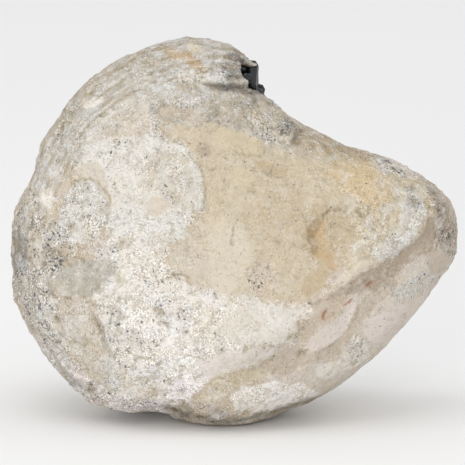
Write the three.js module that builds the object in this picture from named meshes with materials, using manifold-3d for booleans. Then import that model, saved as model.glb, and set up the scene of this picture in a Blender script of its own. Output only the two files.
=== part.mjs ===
// Celestite geode: a rounded, chalky nodule with a blunt nose, broken open on its far side. Blue celestite
// crystals line the hollow, and show over the edge where the rim is bitten away.
// Millimetres, +Z up, +X towards the nose, +Y towards the broken side. The stone stands on a small worn flat,
// and the origin is the centre of its bounding box's base.
//
// The nodule is drawn in its own frame, seen squarely from its whole side: x to the right, y away, z up, with
// the middle of the outline at (0, 0, 0). The finished stone then leans back by LEAN, to lie on its flat.

import * as THREE from "three";
import { ConvexGeometry } from "three/addons/geometries/ConvexGeometry.js";
import { mergeVertices } from "three/addons/utils/BufferGeometryUtils.js";
import { ImprovedNoise } from "three/addons/math/ImprovedNoise.js";
import Module from "manifold-3d";

const wasm = await Module();
wasm.setup();

const DEG = Math.PI / 180;

// ---- Driving dimensions ----

const LEAN = 10 * DEG; // how far the nodule leans back as it stands

// The widest outline, as [angle from the nose side, distance from the middle], anticlockwise seen from the
// whole side.
const OUTLINE = [
  [0, 98], [6, 97], [12, 93], [21, 81], [30, 70.5], [39, 62], [48, 58.5], [60, 57.5], [68, 59.5], [72, 62],
  [76, 67.5], [80, 73.5], [84, 77], [91, 79.5], [102, 81.5], [120, 81], [131, 81], [143, 79], [151, 79.5],
  [164, 77], [172, 80.5], [180, 82], [190, 82], [195, 84], [207, 83], [219, 82.5], [228, 83], [238, 80.5],
  [247, 75.5], [252, 72.5], [262, 74.5], [270, 75.5], [277, 76], [286, 75], [294, 75], [303, 77], [315, 79],
  [324, 82], [333, 84], [345, 89], [351, 93.5], [355, 97],
];

const FRONT_DEPTH = 49; // from the middle to the whole face
const BACK_DEPTH = 66; // from the middle to the far side, before it broke off
const ROUNDNESS = 2.35; // 2 is an ellipse from outline to face, and more is boxier
const FOOT_FORWARD = 9; // how far the base of the nodule sits towards the whole side

// Flattened sides: the direction each one faces, and how far it lies from the middle.
const FACETS = [
  { facing: [0.55, -0.54, -0.64], distance: 67.5 }, // under the nose
  { facing: [0.1, -0.99, 0.06], distance: 46 }, // the broad pale face
  { facing: [-0.62, -0.55, -0.56], distance: 74 }, // lower left
  { facing: [-0.25, -0.68, 0.69], distance: 69 }, // upper left shoulder
  { facing: [-0.55, 0.64, -0.54], distance: 74 }, // far side, lower left
  { facing: [0.58, 0.55, -0.6], distance: 72 }, // far side, under the nose
];
const FACET_BLEND = 0.11; // share of the radius over which two sides round into each other

// Relief on the whole face, by place on the outline's plane. A positive height stands out.
const LUMPS = [
  { at: [62, -34], reach: 15, height: 3.0 }, // lobe under the nose
  { at: [24, -60], reach: 13, height: 1.6 },
  { at: [-50, 10], reach: 10, height: 1.4 },
  { at: [-71, 14], reach: 7, height: 1.5 },
  { at: [-60, -12], reach: 10, height: -2.2 }, // worn hollow on the left
  { at: [-42, -46], reach: 12, height: 1.6 },
  { at: [-12, 63], reach: 12, height: 1.8 }, // top lobe
  { at: [16, 47], reach: 11, height: -1.6 },
  { at: [40, 2], reach: 7, height: -1.6 }, // stained dimple
  { at: [56, 14], reach: 10, height: 1.5 },
];

// The ridge that runs from the nose down to the base, and the valley under it, as points on the same plane.
const RIDGE = { path: [[4, -55], [22, -42], [38, -29], [54, -15], [72, 0], [85, 16]], reach: 8, height: 2.6 };
const VALLEY = {
  path: [[-12, -66], [10, -56], [30, -44], [48, -30], [66, -17], [80, -6]],
  reach: 6,
  height: -3.6,
};

const RUGGED = [
  { size: 34, height: 1.5 },
  { size: 15, height: 0.9 },
  { size: 8, height: 0.45 },
]; // wavelength and height of the uneven surface
const SMOOTH_EDGE = 0.22; // the relief fades out this close to the outline, as a share of the radius

const OPENING = { turn: 17 * DEG, raise: 27 * DEG, distance: 36 }; // where the break faces, and how far out
const BREAK_WAVES = [
  { size: 42, height: 5.0 },
  { size: 17, height: 2.6 },
  { size: 9, height: 1.3 },
]; // wavelength and height of the uneven break
const BREAK_CELL = 9; // edge of the break's flat chips
const BREAK_SPAN = 240; // wide enough to clear the nodule

const HOLLOW = { centre: [8, 15, 0], across: 50, upright: 42, deep: 45 }; // its middle and three radii
const HOLLOW_WAVES = [
  { size: 38, height: 3.2 },
  { size: 18, height: 1.6 },
];
const POCKET = { towards: [6, -17, 66], width: 0.28, height: 24 }; // side pocket that reaches the bites
const BITES = [
  { centre: [14.5, -9, 65.4], radii: [7, 26, 5.8] },
  { centre: [19.5, -7, 59.6], radii: [4, 19, 3.4] },
]; // the pieces missing from the rim
const BITE_WAVES = [{ size: 0.43, height: 0.16 }]; // shares of the bite's radius
const SHIFT = { rugged: 3.7, broken: 1.3, hollow: 5.1, druse: 2.9, bite: 0 }; // start of each wave pattern

const CRUST_GAP = 0.3; // between the stone and the crust that it carries
const CRUST_THICKNESS = 3.6;
const DRUSE = { detail: 5, size: 4.3, height: 3.2 }; // the small crystals between the large ones
const CRUST_PROUD = 1.2; // how far the crust's edge stands above the break
const CRYSTALS = {
  count: 50,
  length: [12, 23],
  width: [10.5, 16],
  splay: 0.6, // how far a crystal may lean off the wall's normal
  root: 4, // how deep it starts in the wall
  highest: 0.52, // cosine of the last crystals' direction from the opening's
};
const FLOOR_CRYSTALS = [
  { root: [21.3, 9.8, -36.3], tip: [15.8, 12.4, -20.5], width: 12.5, turn: 0.5 },
]; // crystals that fill a gap low in the hollow, rooted in its wall
const BITE_CRYSTALS = [
  { root: [15.6, -2, 55], tip: [15.0, -5, 71.4], width: 4.6, turn: 0.2 },
  { root: [12.8, -2, 56], tip: [10.4, -10, 69], width: 4.6, turn: 0.9 },
  { root: [13.6, -3, 55], tip: [12.4, -14, 65], width: 4.2, turn: 0.4 },
  { root: [16.5, -2, 52], tip: [18.4, -8, 61.6], width: 4.2, turn: 0.1 },
]; // crystals that stand in the bites, each rooted in the pocket's crust

// One crystal: a flattened six-sided prism that ends in a chisel edge. Each side's corner is
// [across, through, share of the length where the slope to the tip starts].
const PRISM = [[1, 0, 0.8], [0.5, 1, 0.58], [-0.5, 1, 0.6], [-1, 0, 0.74], [-0.5, -1, 0.62], [0.5, -1, 0.6]];
const PRISM_THICKNESS = 0.66; // share of the width
const ROOT_TAPER = 0.86;
const CHISEL = { edge: 0.4, drop: 0.03, wander: 1.6 }; // share of the width, share of the length, and mm

const BODY_DETAIL = 12; // subdivisions of the nodule's sphere
const FACE_GATHER = 0.3; // how strongly its points gather towards the whole side
const HOLLOW_DETAIL = 5;
const BITE_DETAIL = 2;
const FLOOR_DEPTH = 70.4; // from the middle down to the worn flat, square to the flat
const SLAB = { span: 400, depth: 100 }; // what is cut away under the flat
const WELD = 1e-4; // points closer than this are one
const OUTLINE_STEPS = 720; // entries in the outline's table
const CURVE_POINTS = 14400;

// ---- Small tools ----

const noise = new ImprovedNoise();

// Sum of noise waves at a point, in the waves' own height unit.
function waves(list, point, shift) {
  let sum = 0;
  for (const { size, height } of list) {
    sum += height * noise.noise(point.x / size + shift, point.y / size + 2 * shift, point.z / size - shift);
  }
  return sum;
}

// A repeatable number from 0 to 1 for a counter and a purpose.
function chance(index, purpose) {
  const s = Math.sin(index * 12.9898 + purpose * 78.233) * 43758.5453;
  return s - Math.floor(s);
}

function between([low, high], share) {
  return low + (high - low) * share;
}

function smoothMax(a, b, width) {
  const h = Math.max(width - Math.abs(a - b), 0) / width;
  return Math.max(a, b) + (h * h * width) / 4;
}

// 1 at the middle of a lump or line, falling smoothly to 0.
function bell(distance, reach) {
  return Math.exp(-((distance / reach) ** 2));
}

function distanceToPath(path, x, z) {
  const point = new THREE.Vector2(x, z);
  let nearest = Infinity;
  for (let i = 0; i + 1 < path.length; i++) {
    const start = new THREE.Vector2(...path[i]);
    const run = new THREE.Vector2(...path[i + 1]).sub(start);
    const share = THREE.MathUtils.clamp(point.clone().sub(start).dot(run) / run.lengthSq(), 0, 1);
    nearest = Math.min(nearest, point.distanceTo(start.addScaledVector(run, share)));
  }
  return nearest;
}

function solidOf(geometry) {
  const bare = geometry.clone();
  bare.deleteAttribute("normal");
  bare.deleteAttribute("uv");
  const merged = mergeVertices(bare, WELD);
  return new wasm.Manifold(
    new wasm.Mesh({
      numProp: 3,
      vertProperties: merged.attributes.position.array,
      triVerts: new Uint32Array(merged.index.array),
    }),
  );
}

function geometryOf(solid) {
  const mesh = solid.getMesh();
  const geometry = new THREE.BufferGeometry();
  geometry.setAttribute("position", new THREE.BufferAttribute(new Float32Array(mesh.vertProperties), 3));
  geometry.setIndex(new THREE.BufferAttribute(new Uint32Array(mesh.triVerts), 1));
  return geometry;
}

// A closed solid from a sphere whose points are moved to radius(direction), about a centre. The points can be
// gathered towards -Y, for a finer surface there.
function starPoints(centre, detail, radius, gather = 0) {
  const sphere = new THREE.IcosahedronGeometry(1, detail);
  const points = sphere.attributes.position;
  const direction = new THREE.Vector3();
  for (let i = 0; i < points.count; i++) {
    direction.fromBufferAttribute(points, i).normalize();
    direction.y -= gather;
    direction.normalize();
    direction.multiplyScalar(radius(direction.clone())).add(centre);
    points.setXYZ(i, direction.x, direction.y, direction.z);
  }
  return sphere;
}

function starSolid(centre, detail, radius) {
  return solidOf(starPoints(centre, detail, radius));
}

function uprightBasis(axis) {
  const forward = axis.clone().normalize();
  const side = new THREE.Vector3(0, 0, 1).cross(forward).normalize();
  const up = forward.clone().cross(side);
  return { side, up, forward };
}

// ---- The nodule ----

// The outline's radius at even steps of angle, read from one smooth closed curve through its points.
function outlineTable() {
  const onPlane = OUTLINE.map(
    ([angle, r]) => new THREE.Vector3(r * Math.cos(angle * DEG), 0, r * Math.sin(angle * DEG)),
  );
  const curve = new THREE.CatmullRomCurve3(onPlane, true, "centripetal");
  const table = new Array(OUTLINE_STEPS).fill(0);
  for (const point of curve.getPoints(CURVE_POINTS)) {
    const step = Math.round((Math.atan2(point.z, point.x) / (2 * Math.PI)) * OUTLINE_STEPS);
    table[(step + OUTLINE_STEPS) % OUTLINE_STEPS] = Math.hypot(point.x, point.z);
  }
  return table;
}

const outline = outlineTable();

function outlineRadius(angle) {
  const place = ((angle / (2 * Math.PI) + 1) % 1) * OUTLINE_STEPS;
  const low = Math.floor(place);
  return THREE.MathUtils.lerp(outline[low % OUTLINE_STEPS], outline[(low + 1) % OUTLINE_STEPS], place - low);
}

// The plain form, pillowed between outline and face and flattened on its facets.
function plainRadius(direction) {
  const inPlane = Math.hypot(direction.x, direction.z);
  const depth = direction.y < 0 ? FRONT_DEPTH : BACK_DEPTH;
  const edge = inPlane / outlineRadius(Math.atan2(direction.z, direction.x));
  let inverse = ((edge ** ROUNDNESS) + (Math.abs(direction.y) / depth) ** ROUNDNESS) ** (1 / ROUNDNESS);
  for (const { facing, distance } of FACETS) {
    const normal = new THREE.Vector3(...facing).normalize();
    inverse = smoothMax(inverse, direction.dot(normal) / distance, FACET_BLEND * inverse);
  }
  return 1 / inverse;
}

function faceRelief(x, z) {
  let height = 0;
  for (const lump of LUMPS) {
    height += lump.height * bell(Math.hypot(x - lump.at[0], z - lump.at[1]), lump.reach);
  }
  for (const line of [RIDGE, VALLEY]) {
    height += line.height * bell(distanceToPath(line.path, x, z), line.reach);
  }
  return height;
}

function noduleRadius(direction) {
  const plain = plainRadius(direction);
  const point = direction.clone().multiplyScalar(plain);
  const inside = THREE.MathUtils.smoothstep(Math.abs(direction.y), 0, SMOOTH_EDGE);
  const relief = direction.y < 0 ? faceRelief(point.x, point.z) : 0;
  return plain + inside * (relief + waves(RUGGED, point, SHIFT.rugged));
}

function noduleSolid() {
  const body = starPoints(new THREE.Vector3(), BODY_DETAIL, noduleRadius, FACE_GATHER);
  const points = body.attributes.position;
  for (let i = 0; i < points.count; i++) {
    const forward = FOOT_FORWARD * THREE.MathUtils.smoothstep(-points.getZ(i), 0, FLOOR_DEPTH);
    points.setY(i, points.getY(i) - forward);
  }
  return solidOf(body);
}

// ---- The break and the hollow ----

const openingAxis = new THREE.Vector3(
  Math.sin(OPENING.turn) * Math.cos(OPENING.raise),
  Math.cos(OPENING.turn) * Math.cos(OPENING.raise),
  Math.sin(OPENING.raise),
);

// Everything beyond the uneven break, moved outwards by a lift.
function brokenAway(lift) {
  const cells = Math.round(BREAK_SPAN / BREAK_CELL);
  const block = new THREE.BoxGeometry(BREAK_SPAN, BREAK_SPAN, BREAK_SPAN / 2, cells, cells, 1);
  const { side, up, forward } = hollowBasis;
  const points = block.attributes.position;
  const local = new THREE.Vector3();
  for (let i = 0; i < points.count; i++) {
    local.fromBufferAttribute(points, i);
    const height = local.z > 0
      ? BREAK_SPAN / 2
      : waves(BREAK_WAVES, new THREE.Vector3(local.x, local.y, 0), SHIFT.broken);
    const out = OPENING.distance + lift + height;
    const at = new THREE.Vector3()
      .addScaledVector(side, local.x)
      .addScaledVector(up, local.y)
      .addScaledVector(forward, out);
    points.setXYZ(i, at.x, at.y, at.z);
  }
  return solidOf(block);
}

const hollowCentre = new THREE.Vector3(...HOLLOW.centre);
const hollowBasis = uprightBasis(openingAxis);
const pocketAxis = new THREE.Vector3(...POCKET.towards).normalize();

function hollowRadius(direction) {
  const across = direction.dot(hollowBasis.side) / HOLLOW.across;
  const upright = direction.dot(hollowBasis.up) / HOLLOW.upright;
  const deep = direction.dot(hollowBasis.forward) / HOLLOW.deep;
  const radius = 1 / Math.hypot(across, upright, deep);
  const bulge = POCKET.height * bell(direction.angleTo(pocketAxis), POCKET.width);
  return radius + bulge + waves(HOLLOW_WAVES, direction.clone().multiplyScalar(radius), SHIFT.hollow);
}

function hollowSolid(inset) {
  return starSolid(hollowCentre, HOLLOW_DETAIL, (direction) => hollowRadius(direction) - inset);
}

// The space inside the crust, whose wall is rough with small crystal tips.
function druseSolid() {
  return starSolid(hollowCentre, DRUSE.detail, (direction) => {
    const radius = hollowRadius(direction);
    const tips = waves([DRUSE], direction.clone().multiplyScalar(radius), SHIFT.druse);
    return radius - CRUST_GAP - CRUST_THICKNESS + tips;
  });
}

function biteSolid(inset) {
  const bites = BITES.map(({ centre, radii: [a, b, c] }) =>
    starSolid(new THREE.Vector3(...centre), BITE_DETAIL, (direction) => {
      const radius = 1 / Math.hypot(direction.x / a, direction.y / b, direction.z / c);
      return radius * (1 + waves(BITE_WAVES, direction, SHIFT.bite)) - inset;
    }),
  );
  return wasm.Manifold.union(bites);
}

// ---- The crystals ----

// A crystal with its root at the origin and its tip along +Z.
function crystalGeometry(length, width, tipShift) {
  const half = width / 2;
  const edge = CHISEL.edge * half;
  const points = [
    new THREE.Vector3(tipShift - edge, 0, length),
    new THREE.Vector3(tipShift + edge, 0, length * (1 - CHISEL.drop)),
  ];
  for (const [across, through, shoulder] of PRISM) {
    const x = across * half;
    const y = through * half * PRISM_THICKNESS;
    points.push(new THREE.Vector3(x * ROOT_TAPER, y * ROOT_TAPER, 0));
    points.push(new THREE.Vector3(x, y, shoulder * length));
  }
  return new ConvexGeometry(points);
}

function placedCrystal({ root, along, length, width, turn, tipShift }) {
  const up = new THREE.Vector3(0, 0, 1);
  const stand = new THREE.Quaternion().setFromUnitVectors(up, along.clone().normalize());
  const spin = new THREE.Quaternion().setFromAxisAngle(up, turn);
  const place = new THREE.Matrix4().compose(root, stand.multiply(spin), new THREE.Vector3(1, 1, 1));
  return solidOf(crystalGeometry(length, width, tipShift).applyMatrix4(place));
}

// Crystals spread evenly over the wall on a golden spiral about the hollow's deepest point, pointing inwards.
function liningCrystals() {
  const { side, up, forward } = hollowBasis;
  const goldenAngle = Math.PI * (3 - Math.sqrt(5));
  const crystals = [];
  for (let i = 0; i < CRYSTALS.count; i++) {
    const level = -1 + ((i + 0.5) / CRYSTALS.count) * (1 + CRYSTALS.highest);
    const ring = Math.sqrt(1 - level * level);
    const direction = new THREE.Vector3()
      .addScaledVector(side, ring * Math.cos(i * goldenAngle))
      .addScaledVector(up, ring * Math.sin(i * goldenAngle))
      .addScaledVector(forward, level);
    const depth = hollowRadius(direction) - CRYSTALS.root;
    const lean = new THREE.Vector3(chance(i, 2) - 0.5, chance(i, 3) - 0.5, chance(i, 4) - 0.5);
    const size = chance(i, 1) ** 1.6;
    crystals.push(
      placedCrystal({
        root: hollowCentre.clone().addScaledVector(direction, depth),
        along: direction.clone().negate().addScaledVector(lean, CRYSTALS.splay),
        length: between(CRYSTALS.length, size),
        width: between(CRYSTALS.width, (size + chance(i, 5)) / 2),
        turn: 2 * Math.PI * chance(i, 6),
        tipShift: CHISEL.wander * (chance(i, 7) - 0.5),
      }),
    );
  }
  return crystals;
}

// Crystals placed one by one, from root to tip.
function chosenCrystals(list) {
  return list.map(({ root, tip, width, turn }) => {
    const foot = new THREE.Vector3(...root);
    const along = new THREE.Vector3(...tip).sub(foot);
    return placedCrystal({ root: foot, along, length: along.length(), width, turn, tipShift: 0 });
  });
}

// ---- Putting the stone together ----

// What the floor wears away, in the nodule's own frame, where the floor slopes by LEAN.
function underFloor() {
  const slab = new THREE.BoxGeometry(SLAB.span, SLAB.span, SLAB.depth);
  return solidOf(slab.translate(0, 0, -FLOOR_DEPTH - SLAB.depth / 2).rotateX(LEAN));
}

// Chips that a cut has freed are dropped.
function largestPiece(solid) {
  return solid.decompose().reduce((a, b) => (b.volume() > a.volume() ? b : a));
}

function rindSolid() {
  const cuts = [brokenAway(0), hollowSolid(0), biteSolid(0), underFloor()];
  return largestPiece(noduleSolid().subtract(wasm.Manifold.union(cuts)));
}

// The lining with its crystals, cut off at the break, and the crystals that stand in the bites.
function crustSolid() {
  const carried = hollowSolid(CRUST_GAP);
  const lining = carried.subtract(druseSolid());
  const crystals = [...liningCrystals(), ...chosenCrystals(FLOOR_CRYSTALS)];
  const grown = wasm.Manifold.union([lining, ...crystals]).intersect(carried);
  const room = carried.add(biteSolid(CRUST_GAP));
  const standing = wasm.Manifold.union(chosenCrystals(BITE_CRYSTALS)).intersect(room);
  return largestPiece(grown.subtract(brokenAway(CRUST_PROUD)).add(standing));
}

function piece(name, solid, colour, roughness) {
  const material = new THREE.MeshStandardMaterial({ color: colour, roughness, metalness: 0 });
  material.flatShading = true;
  const mesh = new THREE.Mesh(geometryOf(solid), material);
  mesh.name = name;
  return mesh;
}

const geode = new THREE.Group();
geode.add(piece("rind", rindSolid(), 0xdccfb4, 0.92));
geode.add(piece("crystal_crust", crustSolid(), 0x8fb3cf, 0.15));

// Lean the stone back onto its flat, and bring the origin to the centre of its bounding box's base.
geode.rotation.x = -LEAN;
const bounds = new THREE.Box3().setFromObject(geode, true);
const middle = bounds.getCenter(new THREE.Vector3());
geode.position.set(-middle.x, -middle.y, -bounds.min.z);

export default geode;
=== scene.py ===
import math
import random
from collections import namedtuple

import bpy
import numpy as np
from mathutils import Matrix, Vector, noise
from mathutils.kdtree import KDTree


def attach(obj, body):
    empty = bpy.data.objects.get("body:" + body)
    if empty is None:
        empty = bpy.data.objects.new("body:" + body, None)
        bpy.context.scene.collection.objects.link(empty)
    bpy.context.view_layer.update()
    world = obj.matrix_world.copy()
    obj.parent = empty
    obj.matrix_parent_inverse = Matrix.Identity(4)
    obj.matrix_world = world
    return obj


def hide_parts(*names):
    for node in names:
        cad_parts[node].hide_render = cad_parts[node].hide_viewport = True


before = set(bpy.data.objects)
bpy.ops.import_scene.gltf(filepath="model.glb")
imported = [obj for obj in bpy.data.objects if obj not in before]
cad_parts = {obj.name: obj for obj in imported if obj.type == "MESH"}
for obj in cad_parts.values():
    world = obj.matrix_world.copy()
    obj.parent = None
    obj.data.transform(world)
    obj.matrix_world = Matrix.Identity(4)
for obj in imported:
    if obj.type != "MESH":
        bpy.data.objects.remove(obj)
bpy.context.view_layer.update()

# ---- How the stone stands ----
# Places on the broad face are given in millimetres to the right of the middle of the outline and above it.

MM = 0.001
LEAN = math.radians(10)
MIDDLE = (-8.016, -0.033, 70.4)  # the middle of the outline, as the stone stands
CAMERA_DISTANCE = 2.5
CAMERA_TARGET = (-0.001, 0, 0.0727)
CAMERA_SIGHT = 30  # how far the camera sees
LENS = 483


def in_nodule(points):
    """Points of the standing stone, in metres, as millimetres across, away and up in the upright nodule."""
    x, y, z = (points / MM - MIDDLE).T
    c, s = math.cos(LEAN), math.sin(LEAN)
    return np.stack([x, y * c - z * s, y * s + z * c], axis=1)


def as_standing(points):
    """The other way round: millimetres in the upright nodule, as metres in the standing stone."""
    x, y, z = np.asarray(points, float).reshape(-1, 3).T
    c, s = math.cos(LEAN), math.sin(LEAN)
    return (np.stack([x, y * c + z * s, -y * s + z * c], axis=1) + MIDDLE) * MM


def turned(vectors):
    """Directions of the standing stone in the upright nodule."""
    x, y, z = vectors.T
    c, s = math.cos(LEAN), math.sin(LEAN)
    return np.stack([x, y * c - z * s, y * s + z * c], axis=1)


# ---- Uneven patterns ----


def waves(points, size, start, octaves=1):
    """Smooth uneven waves of about that size, from -1 to 1. Each start is another stretch of the pattern."""
    places = (points / size + 7.31 * start).tolist()
    if octaves == 1:
        return np.array([noise.noise(p) for p in places])
    return np.array([noise.fractal(p, 0.9, 2.1, octaves) for p in places])


def ramp(value, low, high):
    """0 below low, 1 above high, and smooth between."""
    share = np.clip((value - low) / (high - low), 0, 1)
    return share * share * (3 - 2 * share)


def off_path(path, across, up):
    """How far each place lies from a line of points, and the share of the line's length that it is at."""
    path = np.array(path, float)
    nearest = np.full(len(across), np.inf)
    along = np.zeros(len(across))
    reach = np.concatenate([[0], np.cumsum(np.hypot(*np.diff(path, axis=0).T))])
    for i in range(len(path) - 1):
        (ax, ay), (bx, by) = path[i], path[i + 1]
        run = (bx - ax) ** 2 + (by - ay) ** 2
        share = np.clip(((across - ax) * (bx - ax) + (up - ay) * (by - ay)) / run, 0, 1)
        gap = np.hypot(across - ax - share * (bx - ax), up - ay - share * (by - ay))
        closer = gap < nearest
        nearest[closer] = gap[closer]
        along[closer] = ((reach[i] + share * (reach[i + 1] - reach[i])) / reach[-1])[closer]
    return nearest, along


def linear(red, green, blue):
    """A screen colour, 0 to 255, as the light that a surface gives back."""
    parts = np.array([red, green, blue]) / 255
    return np.where(parts <= 0.04045, parts / 12.92, ((parts + 0.055) / 1.055) ** 2.4)


# ---- Working by hand ----


def start_afresh():
    """Leaves any edit mode, with nothing selected."""
    if bpy.context.object and bpy.context.object.mode != "OBJECT":
        bpy.ops.object.mode_set(mode="OBJECT")
    bpy.ops.object.select_all(action="DESELECT")


def take_up(piece):
    """Makes a piece the only selected one and the active one."""
    start_afresh()
    piece.select_set(True)
    bpy.context.view_layer.objects.active = piece


def copy_of_node(node, name):
    """A new piece that starts as a merged copy of a CAD node."""
    take_up(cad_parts[node])
    bpy.ops.object.duplicate()
    piece = bpy.context.object
    piece.name = piece.data.name = name
    bpy.ops.object.mode_set(mode="EDIT")
    bpy.ops.mesh.select_all(action="SELECT")
    bpy.ops.mesh.remove_doubles(threshold=1e-6)
    bpy.ops.object.mode_set(mode="OBJECT")
    piece.data.materials.clear()
    return piece


def apply_modifier(piece, kind, **settings):
    take_up(piece)
    made = piece.modifiers.new(kind.lower(), kind)
    for name, value in settings.items():
        setattr(made, name, value)
    bpy.ops.object.modifier_apply(modifier=made.name)


def read(items, what):
    """Three numbers for each item, such as the place of each point, as rows."""
    flat = np.empty(len(items) * 3, np.float32)
    items.foreach_get(what, flat)
    return flat.reshape(-1, 3).astype(float)


def points_of(piece):
    return read(piece.data.vertices, "co")


def normals_of(piece):
    return read(piece.data.vertex_normals, "vector")


def move_points(piece, points):
    piece.data.vertices.foreach_set("co", points.ravel())
    piece.data.update()


# ---- Camera, floor and light ----

FLOOR_SIZE = 14
PAPER_TONE = 0.9
PAPER_ROUGHNESS = 0.9
LIGHT_TARGET = (0, 0, 0.07)
LIGHTS = [
    # name, place, width, power
    ("overhead", (-0.4, -0.6, 1.9), 1.4, 6.5),
    ("front", (-0.7, -2.1, 0.36), 0.7, 14.8),
]
BACKDROP_STRENGTH = 0.85


def set_camera():
    bpy.ops.object.camera_add()
    camera = bpy.context.object
    camera.name = "camera"
    aim = Vector((0, math.cos(LEAN), -math.sin(LEAN)))
    camera.location = Vector(CAMERA_TARGET) - aim * CAMERA_DISTANCE
    camera.rotation_euler = aim.to_track_quat("-Z", "Y").to_euler()
    camera.data.lens = LENS
    camera.data.clip_end = CAMERA_SIGHT
    bpy.context.scene.camera = camera


def add_light(name, place, width, power):
    bpy.ops.object.light_add(type="AREA", location=place)
    light = bpy.context.object
    light.name = name
    light.data.shape = "DISK"
    light.data.size = width
    light.data.energy = power
    light.rotation_euler = (Vector(LIGHT_TARGET) - Vector(place)).to_track_quat("-Z", "Y").to_euler()


def add_floor():
    bpy.ops.mesh.primitive_plane_add(size=FLOOR_SIZE)
    floor = bpy.context.object
    floor.name = "floor"
    paper = bpy.data.materials.new("paper")
    paper.use_nodes = True
    shader = paper.node_tree.nodes["Principled BSDF"]
    shader.inputs["Base Color"].default_value = (PAPER_TONE, PAPER_TONE, PAPER_TONE, 1)
    shader.inputs["Roughness"].default_value = PAPER_ROUGHNESS
    floor.data.materials.append(paper)


def set_backdrop():
    world = bpy.data.worlds.new("studio")
    world.use_nodes = True
    backdrop = world.node_tree.nodes["Background"]
    backdrop.inputs["Color"].default_value = (1, 1, 1, 1)
    backdrop.inputs["Strength"].default_value = BACKDROP_STRENGTH
    bpy.context.scene.world = world
    bpy.context.scene.view_settings.view_transform = "Standard"


def set_studio():
    start_afresh()
    set_camera()
    add_floor()
    for light in LIGHTS:
        add_light(*light)
    set_backdrop()


# ---- The rind's form ----

# Places and directions in the upright nodule.
OPENING = np.array([0.2605, 0.8521, 0.4540])  # where the break faces: 17 degrees round from +Y, 27 up
BREAK_OUT = 36  # how far out the break lies along it
HOLLOW_MIDDLE = np.array([8, 15, 0])
NOTCH = np.array([16, -8, 63])
VOXEL = 0.00165  # the remeshed rind's cells, in metres
NOTCH_ROCK = [
    # middle, half sizes
    ([15.0, -9.5, 69.5], (2.7, 3.4, 1.4)),
    ([10.8, -7, 70.6], (3.0, 3.4, 1.9)),
    ([10.2, -3.5, 67.5], (4.4, 3.2, 4.4)),
    ([11, -5, 60.5], (4.6, 4, 3.4)),
]


def outwardness(place, facing):
    """1 where a face points straight away from the hollow's middle, and -1 where it points at it."""
    away = place - HOLLOW_MIDDLE
    return (away * facing).sum(1) / np.linalg.norm(away, axis=1)


def from_notch(place):
    return np.linalg.norm(place - NOTCH, axis=1)


def add_lump(rind, middle, half_sizes):
    """Adds a lump of rock to the rind's mesh. The remeshing grows them together."""
    start_afresh()
    bpy.ops.mesh.primitive_ico_sphere_add(subdivisions=3, radius=1)
    lump = bpy.context.object
    bpy.ops.object.mode_set(mode="EDIT")
    bpy.ops.mesh.select_all(action="SELECT")
    bpy.ops.transform.resize(value=[half * MM for half in half_sizes], center_override=(0, 0, 0))
    bpy.ops.transform.translate(value=as_standing([middle])[0])
    bpy.ops.object.mode_set(mode="OBJECT")
    take_up(rind)
    lump.select_set(True)
    bpy.ops.object.join()


def soften(rind):
    """Rounds the weathered outside and leaves the break and the notch sharper."""
    place = in_nodule(points_of(rind))
    softened = ramp(BREAK_OUT - place @ OPENING, 4, 12) * ramp(from_notch(place), 11, 17)
    softened *= ramp(outwardness(place, turned(normals_of(rind))), 0.0, 0.3)
    group = rind.vertex_groups.new(name="weathered")
    for i, weight in enumerate(softened.tolist()):
        if weight > 0:
            group.add([i], weight, "REPLACE")
    apply_modifier(rind, "SMOOTH", factor=0.6, iterations=22, vertex_group="weathered")
    apply_modifier(rind, "SMOOTH", factor=0.5, iterations=1)


def refine_face(rind):
    """Smaller faces on the broad side, where the finest relief is."""
    faces = rind.data.polygons
    place = in_nodule(read(faces, "center"))
    facing = turned(read(faces, "normal"))
    towards_camera = facing[:, 1] < -0.08
    front_half = place[:, 1] < 12
    clear_of_break = place @ OPENING < BREAK_OUT - 3
    take_up(rind)
    bpy.ops.object.mode_set(mode="EDIT")
    bpy.ops.mesh.select_mode(type="FACE")
    bpy.ops.mesh.select_all(action="DESELECT")
    bpy.ops.object.mode_set(mode="OBJECT")
    faces.foreach_set("select", towards_camera & front_half & clear_of_break)
    bpy.ops.object.mode_set(mode="EDIT")
    bpy.ops.mesh.subdivide(number_cuts=1)
    bpy.ops.mesh.select_all(action="SELECT")
    bpy.ops.mesh.quads_convert_to_tris()
    bpy.ops.object.mode_set(mode="OBJECT")
    apply_modifier(rind, "SMOOTH", factor=0.4, iterations=2)


# ---- What shows on the broad face ----

# Tones as they look on a screen, 0 to 255: the chalk's, the warm stone's, the darker stone's, those of
# creases and specks, with a painted shadow black and a painted highlight white among them, and those of
# blotches.
SNOW = (241, 237, 231)
WHITE = (231, 225, 216)
PALE_CHALK = (220, 217, 210)
CHALK = (212, 207, 198)
MIST = (204, 201, 194)
ASH = (190, 187, 179)
COOL_WHITE = (226, 230, 234)
MAUVE = (246, 239, 237)
SHELL = (216, 205, 197)
LILAC = (209, 201, 193)
ROSE = (209, 199, 187)

PARCHMENT = (211, 203, 187)
IVORY = (216, 205, 186)
LINEN = (202, 193, 179)
DUST = (202, 188, 171)
CREAM = (203, 190, 164)
BUTTER = (197, 184, 160)
OCHRE = (212, 189, 151)
CLAY = (192, 179, 164)
SAND = (186, 168, 139)

PUTTY = (181, 175, 163)
DRAB = (169, 161, 147)
UMBER = (177, 162, 144)
TAWNY = (190, 164, 128)
RUST = (158, 134, 98)
BROWN = (167, 147, 114)
SOOT = (128, 123, 116)

PAINTED_SHADOW_BLACK = (42, 38, 35)
INK = (70, 75, 84)
LEAD = (100, 100, 98)
BARK = (84, 74, 56)
EARTH = (114, 100, 80)
TAN = (146, 134, 108)
STRAW = (172, 158, 130)
BRICK = (168, 94, 50)
SALMON = (182, 130, 94)
PAINTED_HIGHLIGHT = (236, 236, 233)

WARM = (206, 188, 156)
COOL = (212, 217, 222)
BLOOM = (242, 241, 238)
MUD = (166, 150, 122)

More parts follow.
